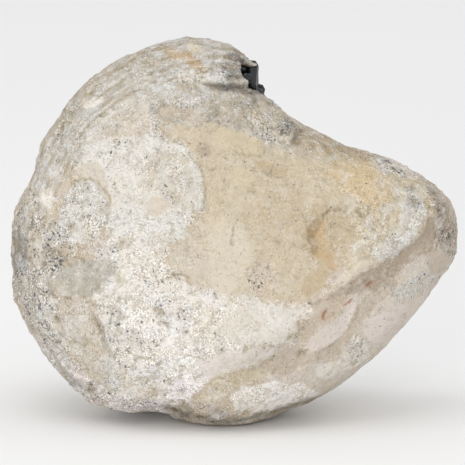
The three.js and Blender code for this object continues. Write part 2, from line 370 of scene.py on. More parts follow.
# A patch of the face. Later areas lie over earlier ones. Blur and wander are of its edge, lift is how far it
# stands out, and specks and coarse are how speckled and how coarse it is.
Area = namedtuple("Area", "outline tone strength blur wander lift specks coarse")
AREAS = [Area(*given) for given in [
    # upper left
    ([(19, 58), (-26, 56), (-72, 14), (-72, 36), (-46, 66), (-26, 77), (-6, 81), (10, 76)], ASH, 0.85,
      6, 3, 0, 0.4, 0.8),
    # left edge
    ([(-74, 20), (-66, 14), (-62, 4), (-62, -9), (-83, -16), (-83, 12)], LINEN, 0.8, 5, 3, 0, 0.7, 1),
    # saddle strip
    ([(52, 37), (46, 32), (22, 36), (10, 44), (-14, 45), (-26, 49), (-26, 56), (19, 58), (34, 42)],
      PUTTY, 0.8, 4, 2.5, 0, 0.45, 0.95),
    # cream field
    ([(52, -9), (34, -26), (0, -24), (-10, -18), (-17, -9), (-16, -2), (-10, 2), (-4, 14), (-6, 30),
      (-18, 41), (-19, 47), (10, 44), (22, 36), (50, 32), (54, 12)], BUTTER, 0.85, 6, 3, 0, 0.1, 0.5),
    # right cream
    ([(34, 40), (66, 34), (90, 18), (84, 3), (73, -7), (52, -16), (55, 10), (48, 26)], CREAM, 0.8, 6, 3,
      0, 0.15, 0.75),
    # pale upper
    ([(-52, 36), (-48, 48), (-36, 56), (-24, 56), (-26, 41), (-40, 41)], ROSE, 0.6, 5, 2, 0, 0.3, 0.6),
    # white chalk
    ([(-56, 29), (-48, 39), (-25, 41), (-14, 38), (-10, 35), (-6, 28), (-4, 16), (-6, 11), (-10, 10),
      (-12, 1), (-17, -2), (-26, -5), (-38, -3), (-43, 1), (-44, 14), (-47, 20), (-52, 24), (-55, 24)],
      PALE_CHALK, 0.85, 2.4, 1.4, 0.22, 0.5, 0.6),
    # pale band
    ([(-12, 9), (-12, 2), (-20, -2), (-39, -3), (-44, 2), (-43, 10)], PALE_CHALK, 0.75, 4, 2, 0, 0.3,
      0.7),
    # warm middle
    ([(34, 23), (39, 15), (35, 0), (24, -2), (19, 8), (19, 20)], SAND, 0.35, 6, 3, 0, 0.1, 0.55),
    # chalk middle
    ([(39, -29), (34, -36), (-4, -49), (-22, -62), (-38, -64), (-46, -58), (-43, -48), (-48, -24),
      (-40, -12), (-43, 2), (-26, -4), (-17, -2), (-19, -14), (-10, -20)], WHITE, 0.9, 5, 3, 0, 0.52,
      0.8),
    # lower left
    ([(-58, -60), (-81, -24), (-83, -9), (-61, -9), (-63, -36), (-52, -57)], CHALK, 0.8, 5, 3, 0, 0.9,
      1.25),
    # white left
    ([(-61, -42), (-66, -42), (-72, -31), (-72, -22), (-65, -21), (-62, -25), (-63, -34)], WHITE, 0.85,
      3, 1.5, 0, 0.75, 1.3),
    # tan face
    ([(-46, -58.5), (-51, -55), (-54, -49), (-59.5, -42), (-62, -36), (-61, -26), (-56, -24),
      (-51, -26), (-46, -33), (-44.5, -38), (-44.5, -44), (-41, -55)], LINEN, 0.9, 1.2, 1, -0.3, 0.3,
      0.75),
    # lower rim
    ([(-72, -39), (-42, -62), (-18, -65), (-19, -70), (-38, -70), (-52, -65)], MAUVE, 0.85, 2.5, 1.5, 0,
      0.6, 1.2),
    # bright chalk
    ([(-32, -26), (-6, -36), (-4, -45), (-10, -55), (-22, -59), (-35, -56), (-41, -48), (-41, -36)],
      SNOW, 0.6, 4, 2, 0.2, 0.52, 0.85),
    # grey chalk
    ([(-38, -59), (-43, -57), (-43, -44), (-44, -34), (-43, -22), (-38, -22), (-35, -36), (-36, -48)],
      CHALK, 0.6, 5, 2, 0, 0.8, 1),
    # mottle one
    ([(-30, -46), (-35, -45), (-36, -39), (-31, -38), (-28, -41)], CLAY, 0.6, 3, 2, -0.1, 0.6, 1),
    # bright bottom
    ([(-20, -45), (-10, -46), (-5, -51), (-10, -57), (-19, -56)], SNOW, 0.6, 2, 1.5, 0.15, 0.2, 0.8),
    # cream edge crescent
    ([(-43, 10.5), (-46, 19), (-48.5, 22.5), (-55, 24.5), (-55, 28), (-51, 30.5), (-47, 30), (-44, 26),
      (-41, 14)], LINEN, 0.9, 0.8, 0.6, -0.25, 0.08, 0.4),
    # edged chalk
    ([(-62, 1), (-63, 7), (-59.5, 17.5), (-55.5, 22.5), (-51, 24), (-48, 22), (-43.5, 15), (-44, 6),
      (-46, 1), (-51, -2), (-57, -2.5)], PALE_CHALK, 0.9, 0.8, 0.6, 0.55, 0.45, 1),
    # cream spot
    ([(-17.2, 13.6), (-18.8, 10), (-23.6, 8.4), (-27.2, 10.4), (-28.4, 14), (-25.2, 16.8),
      (-19.6, 16.4)], DUST, 0.7, 1.2, 0.8, 0.05, 0.1, 0.4),
    # grey tan
    ([(-39, -11), (-41, -16), (-48, -23), (-54, -24), (-60, -22.5), (-64, -20), (-64, -14), (-58, -11),
      (-50, -9), (-42, -8)], PUTTY, 1, 1, 1.2, -0.25, 0.15, 0.65),
    # pale knob
    ([(-66, 21), (-64, 16), (-66, 11), (-69, 13), (-70, 19)], SNOW, 0.8, 2, 1, 0.3, 0.1, 0.6),
    # dark margin: painted shade along the left edge
    ([(-83, -13), (-83, 2), (-79, 4), (-75, 2), (-76, -12)], SOOT, 0.9, 2, 1, 0, 0.3, 1),
    # brown shoulder
    ([(-65, 32), (-66, 40), (-56, 58), (-53, 54)], PUTTY, 0.5, 2.5, 1.5, 0, 0.5, 0.95),
    # cream streak
    ([(-42.8, 55.2), (-52.4, 51.6), (-54, 54.4), (-49.2, 56.4), (-44.4, 57.2)], WHITE, 0.8, 1.2, 0.8,
      0.1, 0.1, 0.5),
    # grey shoulder
    ([(-35, 66), (-34, 58), (-37, 53), (-43, 52), (-45, 57), (-43, 63)], PUTTY, 0.7, 2.5, 1.5, 0, 0.1,
      0.5),
    # brown spot
    ([(-40.4, 45.6), (-37.6, 45.6), (-37.6, 42.4), (-40, 42)], DRAB, 0.8, 1, 0.6, -0.1, 0.2, 0.7),
    # top tan
    ([(-23, 75), (-18, 76.5), (-12.5, 75), (-7, 73), (-3.5, 69.5), (-5, 67.5), (-9, 68.5),
      (-11.5, 71.5), (-18, 73)], TAWNY, 0.95, 1.4, 1.2, 0, 0.1, 0.7),
    # top pale
    ([(-4, 75.2), (-7.2, 73.6), (-10.4, 75.6), (-10.8, 78), (-6, 77.6)], IVORY, 0.8, 1.2, 0.8, 0.1, 0.1,
      0.5),
    # top speckled
    ([(7, 64), (0, 61.5), (-10, 62), (-15, 64), (-15.5, 66.5), (-10, 67.5), (-2, 66.5), (4.5, 67.5)],
      PALE_CHALK, 0.8, 1.4, 1.2, 0, 0.6, 0.65),
    # white wedge
    ([(-3.5, 55), (-10, 53), (-17, 56.5), (-26, 59), (-27, 64.5), (-17, 62.5), (-12, 58.5)], MIST, 0.8,
      1.2, 1, 0.3, 0.15, 0.7),
    # crevice band
    ([(-6, 62.5), (19, 61.5), (19.5, 58), (15, 57), (-1, 59.5)], SOOT, 0.85, 1, 0.8, -0.4, 0.7, 1.1),
    # notch rock
    ([(9.2, 76), (14, 71.2), (12.8, 67.2), (9.2, 62.4), (4.4, 63.2), (2, 68), (3.6, 73.6)], SOOT, 0.65,
      1.2, 0.8, 0, 0.8, 1),
    # notch cap
    ([(18.4, 68), (12, 69.6), (11.6, 72.8), (14.8, 73.2), (18.4, 70.4)], SOOT, 0.9, 0.8, 0.3, 0, 1, 1),
    # brown band
    ([(-26, 51), (-23, 55), (0, 53.5), (3, 51), (-1, 47), (-7.5, 45), (-15, 46)], DRAB, 0.8, 1.6, 1.2,
      -0.1, 0.3, 0.9),
    # scallop
    ([(-2.4, 47.6), (-5.6, 45.2), (-10, 44.8), (-12.8, 47.2), (-13.2, 50.8), (-8.4, 52.4), (-4, 50.4)],
      CLAY, 0.9, 0.6, 0.5, 0.4, 0.15, 0.65),
    # scallop two
    ([(-23.2, 51.2), (-18.8, 53.2), (-14, 51.6), (-15.2, 48), (-21.2, 48.4)], CLAY, 0.8, 0.9, 0.7, 0.3,
      0.1, 0.5),
    # rosy strip
    ([(2, 52.8), (7.6, 52), (13.6, 50), (12.8, 46.8), (7.2, 45.2), (2.8, 47.6)], CLAY, 0.8, 1.2, 1, 0.1,
      0.2, 0.9),
    # saddle chalk
    ([(33.5, 44), (31, 39), (27, 37), (22, 38.5), (17, 38.5), (13, 42.5), (10.5, 49), (19, 55),
      (25, 52)], IVORY, 0.9, 0.8, 0.8, 0.4, 0.75, 0.95),
    # saddle dark
    ([(32.8, 44), (30, 40.8), (26.4, 41.6), (24.8, 44), (26, 46.8), (30.8, 47.6)], PUTTY, 0.7, 1.5, 1,
      -0.1, 1, 1.2),
    # brown crack
    ([(32.8, 36.8), (30.8, 39.6), (32, 44.4), (35.6, 43.2), (36.4, 39.6)], BROWN, 1, 0.9, 0.7, -0.4,
      0.3, 1),
    # ochre rim
    ([(64, 34), (62.5, 30), (52, 32), (44, 35.5), (36.5, 35.5), (35, 40.5), (44, 41.5)], SAND, 0.7, 1.6,
      1.2, 0, 0.2, 0.95),
    # brown spot two: a painted brown shadow
    ([(48, 34.8), (46, 33.2), (44, 34.4), (43.6, 36.8), (46, 37.2)], TAWNY, 0.8, 0.9, 0.6, -0.3, 0.2,
      0.9),
    # cream blob
    ([(-1, 43.5), (4, 45), (19, 39), (20.5, 36), (19, 33), (12, 33), (5, 36), (-0.5, 40)], CREAM, 0.8,
      0.9, 0.7, 0.12, 0.05, 0.2),
    # cream blob two
    ([(6, 28), (10, 28.8), (14.8, 27.2), (15.2, 23.2), (11.2, 20), (6.8, 21.6)], CREAM, 0.7, 0.9, 0.7,
      0.1, 0.05, 0.2),
    # grey blotch
    ([(15.5, 29.5), (21, 31), (30.5, 27), (28.5, 24.5), (20, 26)], SAND, 0.8, 1.3, 1, -0.12, 0.2, 0.4),
    # grey blotch two
    ([(-0.8, 32.8), (-4.8, 31.6), (-7.2, 34.8), (-7.2, 38.4), (-2.8, 37.6)], UMBER, 0.7, 1.2, 1, -0.1,
      0.5, 0.6),
    # blush
    ([(72, 16), (64, 11), (56, 15), (46, 26), (48, 32), (62, 30), (71, 25)], OCHRE, 0.7, 3, 1.5, 0,
      0.15, 0.7),
    # ochre glow
    ([(66.5, 22), (60.5, 19.5), (54, 23), (55, 27.5), (64, 27)], OCHRE, 0.4, 1.8, 1.2, 0, 0.1, 0.6),
    # nose grey patch
    ([(82.5, 26.5), (80, 23.5), (72, 25), (65, 27.5), (62.5, 33), (68, 34)], WHITE, 0.9, 1.2, 1, 0.2,
      0.8, 0.85),
    # nose white
    ([(63.5, -9), (63, -5), (73, 5), (75, 10), (77, 21), (80.5, 19), (84.5, 14), (84, 7), (73, -7),
      (68, -9.5)], CHALK, 0.95, 1, 1, 0.3, 0.35, 0.75),
    # nose dark streak
    ([(76.4, 21.2), (79.2, 20), (82.4, 14), (80.8, 11.2), (77.2, 14)], ASH, 0.85, 0.9, 0.7, -0.1, 1,
      1.1),
    # white patch
    ([(64.8, 8.4), (64, 4.8), (59.6, 4), (58.4, 7.2), (61.6, 9.2)], CLAY, 0.8, 0.9, 0.8, 0.25, 0.1,
      0.7),
    # white patch two
    ([(72, 13.6), (71.6, 10.4), (68, 9.2), (65.6, 10.4), (65.6, 12.8), (68.8, 14.4)], LINEN, 0.8, 0.9,
      0.8, 0.25, 0.1, 0.7),
    # nose side
    ([(84, 24), (90, 18), (98, 2), (96, -9), (90, -13), (84, -9), (89, -2), (90, 6)], CLAY, 0.9, 2, 1,
      0, 0.8, 1.1),
    # under the crest, its brown partly painted shade below the crest
    ([(41, -25), (56, -15.5), (73, -7.5), (83.5, 3), (87, 10), (89.5, 5), (87, -5), (83.5, -11),
      (74, -17), (62, -23), (52, -22.5), (42.5, -27)], UMBER, 0.95, 0.9, 0.7, 0, 0.2, 0.6),
    # slope
    ([(98, -9), (91, -21), (74, -37), (62, -53), (46, -63), (34, -69), (14, -70), (6, -62), (18, -58),
      (46, -42), (54, -30), (42, -27), (52, -23), (68, -20), (77, -10), (90, -5)], ROSE, 0.95, 2, 1, 0,
      0.15, 0.5),
    # lilac band
    ([(58.5, -24.5), (55, -34), (52, -39), (40, -45), (36, -44), (39, -39)], SHELL, 0.9, 0.8, 0.7, 0.15,
      0.08, 0.2),
    # tan sweep
    ([(23, -55), (26, -50), (34, -46.5), (44, -44.5), (52, -39), (57, -27), (70, -15), (74.5, -18),
      (68.5, -24), (62.5, -28.5), (57.5, -34.5), (55, -40.5), (50, -46.5), (34, -51.5), (29, -55.5)],
      CLAY, 0.9, 0.9, 0.7, -0.1, 0.15, 0.5),
    # pink lobe
    ([(85.5, -21.5), (82.5, -28.5), (68, -42.5), (63, -42.5), (59.5, -38.5), (61, -33), (78, -26)],
      SHELL, 0.9, 1, 0.8, 0.15, 0.08, 0.15),
    # lilac speckled
    ([(90.5, -16), (77, -24.5), (72, -25), (70, -20.5), (86.5, -12.5)], MIST, 0.9, 1.2, 1, 0.1, 0.5,
      0.7),
    # speckled grey
    ([(56.4, -38), (61.2, -42), (62, -48.8), (56.4, -52), (51.2, -48), (51.2, -42)], WHITE, 0.85, 1.5,
      1, 0, 0.6, 0.8),
    # nose pink
    ([(86, -14.8), (84.4, -8.8), (88.4, -4.8), (93.6, -5.6), (94.8, -8.8), (91.2, -12.8)], CLAY, 0.85,
      1.2, 0.9, 0.1, 0.2, 0.4),
    # pale bottom
    ([(55, -51), (48.5, -55.5), (40, -56.5), (41, -50.5), (50, -49)], WHITE, 0.8, 1.3, 1, 0.1, 0.2,
      0.5),
    # fork tan
    ([(52, -22.5), (53, -28), (46, -33), (39, -39), (35, -44), (31, -44), (43, -25)], DUST, 0.95, 0.8,
      0.7, -0.1, 0.1, 0.4),
    # olive
    ([(31, -43), (33, -46), (27.5, -52.5), (23, -55), (20, -51.5), (26, -45)], CLAY, 0.9, 0.8, 0.7,
      -0.1, 0.25, 0.5),
    # tan line
    ([(23, -55), (8, -59.5), (3, -64.5), (-6, -67.5), (-10.5, -66), (-1, -56.5), (10, -53),
      (21, -51.5)], BUTTER, 0.9, 0.9, 0.7, -0.1, 0.15, 0.6),
    # ochre patch
    ([(-6, -63.5), (-4, -59.5), (1.5, -57), (7, -58.5), (5, -63), (-1, -65)], IVORY, 0.85, 0.8, 0.7,
      0.05, 0.15, 0.8),
    # bottom chalk
    ([(42, -62.5), (34, -67), (18, -69.5), (8.5, -69), (6, -64), (10.5, -60), (22, -58), (34, -58.5)],
      SNOW, 0.85, 1.2, 1, 0.05, 0.4, 0.75),
    # lower chalk
    ([(-23, -69), (-23, -61), (-12, -55), (-4, -49), (-1, -55), (-10, -65)], MAUVE, 1, 2, 1, 0.1, 0.15,
      0.85),
    # bottom dark
    ([(9, -72), (-2, -75), (-12, -72), (-15, -66), (-6, -66), (4, -68)], CLAY, 0.9, 1.2, 0.8, -0.2, 0.5,
      1.1),
    # pale streak
    ([(41.5, -23), (44, -24.5), (63, -11), (63.5, -9), (58, -9)], IVORY, 0.9, 0.7, 0.6, 0.15, 0.15,
      0.45),
    # tan lobe
    ([(44, -11.2), (46.4, -14), (43.2, -19.2), (38.8, -23.2), (35.2, -23.6), (34.4, -20), (36, -16),
      (38.8, -12.8)], SAND, 0.85, 0.9, 0.7, 0.1, 0.05, 0.4),
    # dusty right
    ([(-22, 36), (-14, 36), (-8, 28), (-5, 20), (-7, 12), (-14, 10), (-30, 26)], LINEN, 0.6, 4, 2, 0,
      0.5, 0.7),
    # stain halo
    ([(50, 14), (55, 9), (55, 0), (48, -12), (39, -12), (34, 6), (40, 14)], SAND, 0.6, 3, 1.5, 0, 0.1,
      0.6),
    # stain
    ([(49, -13.5), (39, -6.5), (37, 3), (41, 7), (43.5, 7.5), (45, 5.5), (45, -3), (49.5, -11)], TAWNY,
      0.8, 1.8, 0.9, -0.12, 0.1, 0.4),
    # stain core
    ([(41.2, -6.4), (39.6, -6.4), (37.4, 3.2), (40.6, 7.4), (43.4, 7.4), (40.6, 0.8)], RUST, 0.75, 1.5,
      0.8, -0.1, 0.1, 0.6),
    # smooth lobe
    ([(7, -23), (0, -22), (-4, -6), (-3, 3), (5, 9), (14, 0), (15, -9)], PARCHMENT, 0.65, 3, 2, 0.15,
      0.05, 0.15),
    # grey cream
    ([(-4, 6), (-2, -20), (-17, -14), (-17, -6)], LINEN, 0.75, 3.5, 2, -0.15, 0.2, 0.5),
    # bright smooth
    ([(0, -38), (6, -28), (18, -26), (39, -29), (28, -42), (16, -44)], CHALK, 0.8, 3, 2, 0.05, 0.15,
      0.5),
    # lilac smooth
    ([(27.5, -44), (21, -49), (2, -55), (-7, -56.5), (-7, -49.5), (6, -45)], LILAC, 0.85, 1.4, 1, 0.05,
      0.08, 0.4),
    # speckled cream
    ([(21, -9), (26, -20), (22, -24), (15, -24), (13, -17), (14, -10)], DUST, 0.8, 2, 1.2, -0.05, 0.65,
      0.6),
]]

# A crack, crease or thin streak along a line of points. One with a depth below 0 stands out. Some are painted
# shadows and painted highlights along edges and crevices, as noted above them.
Crease = namedtuple("Crease", "line width depth tone strength")
CREASES = [Crease(*given) for given in [
    ([(-4.8, 62), (-0.4, 61.6), (5.2, 60.8), (12, 60.8), (18.8, 61.2)], 0.8, 0.9, INK, 0.6),
    ([(31.2, 38.4), (32, 40.4), (33.6, 42.4), (35.6, 43.8)], 0.7, 0.8, EARTH, 0.75),
    ([(26.4, 41.8), (27.6, 42.4)], 0.7, 0.3, INK, 0.95),
    ([(17.2, 44), (18.4, 42.8), (19.2, 44)], 0.5, 0.3, LEAD, 0.7),
    ([(18, 27), (22, 25.2), (27.2, 24.6)], 0.4, 0.3, TAN, 0.6),
    ([(5.2, 36), (12, 33.2), (18.8, 32.8), (20.4, 36), (18.8, 38.8)], 0.35, 0.2, STRAW, 0.45),
    ([(43.4, 7.8), (43.8, 9.6), (45.4, 11), (46.8, 13)], 0.35, 0.4, BARK, 0.8),
    ([(46.8, 11.4), (48.6, 10.4), (50.8, 11.8)], 0.35, 0.3, EARTH, 0.7),
    ([(37.6, 3.6), (38.2, -1.2), (39.6, -6.4)], 0.35, 0.3, EARTH, 0.6),
    # Painted highlight along an edge.
    ([(-64.4, -37.6), (-62, -40.4), (-58.8, -44)], 1, -0.3, PAINTED_HIGHLIGHT, 0.7),
    ([(-57.6, -57.6), (-56, -59.2)], 1.2, 0.4, LEAD, 0.6),
    ([(-50.8, -59.6), (-48, -61.6)], 1.4, 0.4, TAN, 0.6),
    # Painted highlight along the white chalk's raised edge.
    ([(-16.4, 38.2), (-12.4, 35.4), (-11, 32.4), (-7.6, 27.6), (-5.4, 23.6), (-5, 17.2), (-6.6, 12.8)],
      0.6, -0.15, PAINTED_HIGHLIGHT, 0.4),
    # Painted shadow beside the white chalk's raised edge.
    ([(-15.6, 39.2), (-11.2, 36.4), (-9.8, 33.2), (-6, 28.4), (-4, 24), (-3.4, 16.8), (-5.2, 11.6),
      (-9.6, 10)], 0.4, 0.3, STRAW, 0.5),
    # Painted highlight along the edged chalk's rim.
    ([(-56.4, 20.8), (-52.8, 22.2), (-49.6, 21.8), (-46.8, 19.2), (-44.2, 16), (-43.8, 12), (-45, 7.2)],
      0.6, -0.2, PAINTED_HIGHLIGHT, 0.5),
    # Painted shadow beside the edged chalk's rim.
    ([(-57.2, 22.4), (-53.2, 24), (-48.8, 23.6), (-45.2, 20.6), (-42.2, 17.2), (-41.8, 11.6),
      (-43.2, 6.4), (-44.4, 2.8)], 0.4, 0.45, STRAW, 0.6),
    ([(8, 5.6), (7.6, 1.6), (6.8, -0.4), (7.2, -2.8), (8.4, -1.2)], 0.25, 0.3, TAN, 0.6),
    # A crevice, its brown partly painted shade.
    ([(-49.2, -31.2), (-47.2, -33.6), (-45.6, -36), (-44.8, -40.4), (-43.6, -44.8)], 1, 1.2, EARTH, 0.6),
    # Painted shadow in the crevice at the bottom.
    ([(-20.4, -68), (-17.2, -68.2), (-14, -69)], 1, 1.6, PAINTED_SHADOW_BLACK, 0.95),
    # Painted shade beside the bottom crevice.
    ([(-14.8, -69.2), (-12, -70.8), (-9.6, -72)], 1.5, 0.8, LEAD, 0.7),
    # Painted shadow along a small ledge.
    ([(-17.2, -14.4), (-12.4, -14.4), (-9.6, -16)], 0.35, 0.5, TAN, 0.7),
    ([(-72.8, 8.4), (-73.6, 5.2), (-74.8, 2.8)], 0.5, 1, INK, 0.8),
    ([(-9.2, -70.4), (0, -73.6), (10, -73.2), (22, -70), (34, -66), (42.8, -64)], 0.9, 0.3, BARK, 0.75),
    ([(44.4, -28.4), (43.4, -31.2), (44, -33.2)], 0.55, 0.15, BRICK, 0.95),
    ([(44.4, -32.8), (46.4, -31.2), (48, -30)], 0.2, 0.05, SALMON, 0.6),
    # Painted shadow in the gap under the notch's rock edge.
    ([(9.6, 71.8), (11.6, 70.8)], 0.5, 0.5, PAINTED_SHADOW_BLACK, 0.95),
    ([(51.6, -26.8), (53.6, -25.6), (55.2, -24.4)], 0.35, 0.1, BRICK, 0.9),
    ([(60, -19.6), (61.6, -18.4), (63.2, -17.2)], 0.5, 0.1, BRICK, 0.95),
    ([(16, 60.4), (19.2, 59.2), (20.4, 57.2)], 0.5, 0.5, BARK, 0.6),
    ([(-66, -44.8), (-62, -51.2), (-56, -57.6), (-49.2, -62.4)], 0.7, 0.6, LEAD, 0.45),
    ([(34.8, -36), (26, -43.6), (21.2, -50.4)], 0.3, 0.15, STRAW, 0.5),
    ([(58, -26.4), (54.8, -34.4), (50, -40.8), (42.8, -44.8)], 0.3, 0.2, TAN, 0.5),
]]

# A step down on the right of a line of points: how far, how soon it is reached and how far off it ends.
Ledge = namedtuple("Ledge", "line drop soon last")
LEDGES = [Ledge(*given) for given in [
    ([(41.2, -25.6), (52, -16.4), (63.6, -10), (73.2, -7.2), (84, 3.2), (88.8, 11.2)], 1.9, 3, 26),
    ([(-52.4, -26.4), (-46.8, -31.2), (-44.8, -36), (-44.4, -42), (-42.4, -48.8), (-40.4, -56)], 1, 1.2,
      14),
    ([(18.8, 61.6), (10, 61.6), (0, 62), (-6, 62.4)], -0.8, 1.5, 12),
    ([(-18.8, -14), (-12.4, -14.4), (-9.2, -16)], 0.45, 0.8, 8),
    ([(10.4, 48.8), (12.4, 42.4), (17.2, 38.4), (22, 38), (27.6, 36.8)], 0.5, 0.8, 10),
    ([(71.2, -14.8), (64, -20), (57.2, -26.8), (54.8, -33.6), (50.8, -40), (41.2, -45.2)], 0.5, 1.2, 12),
]]

BEDDED = [(-50, 66), (-40, 73), (-25, 74), (-16, 67), (-24, 59), (-42, 59)]  # where thin beds show
BED_THICKNESS = 1.9


def distance_to(piece, points):
    """How far each point lies from the nearest corner of a piece, in millimetres."""
    corners = points_of(piece)
    tree = KDTree(len(corners))
    for i, corner in enumerate(corners):
        tree.insert(corner, i)
    tree.balance()
    return np.array([tree.find(point)[2] for point in points]) / MM


class Surface:
    """What carving and colouring need to know about the rind's points.

    across and up are where the camera sees each point. front, lining, broken and beside_crust are 1 on the
    broad side, the hollow's wall, the slanted break and its strip along the crystals, and 0 elsewhere. drift
    and tremble are slow and quick unevenness.
    """

    def __init__(self, piece):
        points = points_of(piece)
        self.place = in_nodule(points)
        self.facing = turned(normals_of(piece))
        nearer = CAMERA_DISTANCE / (CAMERA_DISTANCE + self.place[:, 1] * MM)
        self.across = self.place[:, 0] * nearer
        self.up = self.place[:, 2] * nearer
        self.front = ramp(-self.place[:, 1], -10, 6)
        self.lining = ramp(-outwardness(self.place, self.facing), -0.05, 0.3)
        self.broken = ramp(self.place @ OPENING, BREAK_OUT - 8, BREAK_OUT - 5)
        self.broken *= ramp(self.facing @ OPENING, 0.6, 0.8) * ramp(from_notch(self.place), 12, 19)
        off_crust = distance_to(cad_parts["crystal_crust"], points)
        self.beside_crust = self.broken * ramp(-off_crust, -5, -0.5)
        self.drift = [waves(self.place, 9, 1, 3), waves(self.place, 9, 2, 3)]
        self.tremble = [waves(self.place, 2.6, 3, 2), waves(self.place, 2.6, 4, 2)]

    def shifted(self, drift, tremble):
        """Across and up with unevenness added, so that edges and lines wander."""
        x = self.across + drift * self.drift[0] + tremble * self.tremble[0]
        y = self.up + drift * self.drift[1] + tremble * self.tremble[1]
        return x, y

    def inside(self, outline, blur, wander):
        """1 inside an outline on the broad face, falling to 0 across its blurred and wandering edge."""
        x, y = self.shifted(wander, 0.8 * wander)
        corners = np.array(outline, float)
        (left, low), (right, high) = corners.min(0) - blur, corners.max(0) + blur
        near = np.nonzero((x > left) & (x < right) & (y > low) & (y < high) & (self.front > 0))[0]
        x, y = x[near], y[near]
        gap, _ = off_path(np.concatenate([corners, corners[:1]]), x, y)
        within = np.zeros(len(near), bool)
        for (ax, ay), (bx, by) in zip(corners, np.roll(corners, -1, axis=0)):
            if ay != by:
                crossing = (ay > y) != (by > y)
                within ^= crossing & (x < (bx - ax) * (y - ay) / (by - ay) + ax)
        share = np.zeros(len(self.place))
        share[near] = ramp(np.where(within, gap, -gap), -blur / 2, blur / 2) * self.front[near]
        return share

    def on_line(self, crease):
        """1 on a crease, falling to 0 across its width and at its ends."""
        gap, along = off_path(crease.line, *self.shifted(0, 0.7))
        ends = ramp(along, -0.1, 0.15) * ramp(-along, -1.1, -0.85)
        return np.exp(-((gap / crease.width) ** 2)) * ends * self.front

    def below(self, ledge):
        """1 on the lower side of a ledge, falling to 0 where the step ends."""
        x, y = self.shifted(0.8, 0.32)
        gap, along = off_path(ledge.line, x, y)
        corners = np.array(ledge.line, float)
        side = np.zeros(len(x))
        nearest = np.full(len(x), np.inf)
        for (ax, ay), (bx, by) in zip(corners[:-1], corners[1:]):
            middle = np.hypot(x - (ax + bx) / 2, y - (ay + by) / 2)
            closer = middle < nearest
            nearest[closer] = middle[closer]
            side[closer] = -np.sign((bx - ax) * (y - ay) - (by - ay) * (x - ax))[closer]
        gap *= side
        ends = ramp(along, 0.0, 0.12) * ramp(-along, -1.0, -0.88)
        step = ramp(gap, -0.3 * ledge.soon, ledge.soon) * ramp(-gap, -ledge.last, -ledge.soon)
        return step * ends * self.front


def texture_of(surface):
    """How coarse the stone is and how many specks it has, point by point."""
    coarse = 0.75 + 0.25 * ramp(waves(surface.place, 24, 20), -0.2, 0.3)
    specks = 0.22 + 0.5 * ramp(waves(surface.place, 19, 21), 0.1, 0.4)
    for area in AREAS:
        share = surface.inside(area.outline, max(area.blur, 2), area.wander)
        coarse += share * (area.coarse - coarse)
        specks += share * (area.specks - specks)
    return coarse, specks


def weathering(surface, coarse):
    """Lumps and pits all over, in millimetres, and how far the pits are darkened, partly by dirt and partly
    by painted shade.
    """
    place = surface.place
    height = 0.5 * coarse * waves(place, 4.2, 6, 3) + 0.4 * coarse * waves(place, 1.8, 7, 3)
    pits = ramp(waves(place, 2.6, 8, 2), 0.22, 0.55)
    height -= 0.7 * pits * coarse * ramp(waves(place, 14, 9), -0.25, 0.3)
    # Darker in the pits: partly dirt, partly painted shade.
    dirt_and_shade = ramp(-height, 0.1, 0.75) * (1 - surface.lining)
    height += (0.35 + 0.5 * coarse) * waves(place, 11, 5, 2)
    return height, dirt_and_shade


def layering(surface):
    """Chalk that stands out in layers, ledges and thin beds, in millimetres."""
    height = np.zeros(len(surface.place))
    for area in AREAS:
        if area.lift:
            height += area.lift * surface.inside(area.outline, min(area.blur, 1.6), area.wander)
    for ledge in LEDGES:
        height -= ledge.drop * surface.below(ledge)
    beds = surface.up + 0.12 * surface.across + 1.6 * surface.drift[0]
    return height + 0.2 * np.sin(beds * 2 * math.pi / BED_THICKNESS) * surface.inside(BEDDED, 5, 2)


def chipping(surface):
    """The uneven break, in millimetres, which stands up beside the crystals."""
    place = surface.place
    chips = 1.3 * waves(place, 9, 10, 2) + 0.9 * np.abs(waves(place, 5, 11, 2))
    return chips + 0.55 * waves(place, 2.2, 12, 3) + 1.7 * surface.beside_crust


def carve(rind):
    """Gives the rind its relief, and returns how far each point is darkened in its pits and creases, partly
    by dirt and partly by painted shade.
    """
    surface = Surface(rind)
    coarse, _ = texture_of(surface)
    height, dirt_and_shade = weathering(surface, coarse)
    height += layering(surface)
    for crease in CREASES:
        crack = surface.on_line(crease)
        height -= crease.depth * crack
        # Sunk creases are darkened too: painted shade, kept with the dirt.
        if crease.depth > 0:
            dirt_and_shade = np.maximum(dirt_and_shade, 0.5 * crack)
    height += surface.broken * (chipping(surface) - height)
    height *= 1 - surface.lining
    points = points_of(rind)
    above_foot = ramp(points[:, 2] / MM, 0.2, 3.0)
    points += normals_of(rind) * (height * above_foot)[:, None] * MM
    points[:, 2] = np.maximum(points[:, 2], 0)
    move_points(rind, points)
    return dirt_and_shade


class Coats:
    """A colour at each point, made of coats laid one over the other."""

    def __init__(self, count, tone):
        self.tone = np.tile(linear(*tone), (count, 1))

    def lay(self, tone, share):
        share = np.clip(share, 0, 1)[:, None]
        self.tone = self.tone * (1 - share) + linear(*tone) * share


def colour_sides(coats, surface):
    """Clouds of chalk and cream, everywhere but on the broad side."""
    around = 1 - surface.front
    coats.lay(CHALK, ramp(waves(surface.place, 38, 12, 2), -0.25, 0.2) * around)
    coats.lay(CREAM, 0.7 * ramp(waves(surface.place, 21, 13, 3), 0.1, 0.4) * around)
    coats.lay(PALE_CHALK, 0.8 * ramp(waves(surface.place, 13, 14, 3), 0.12, 0.3) * around)


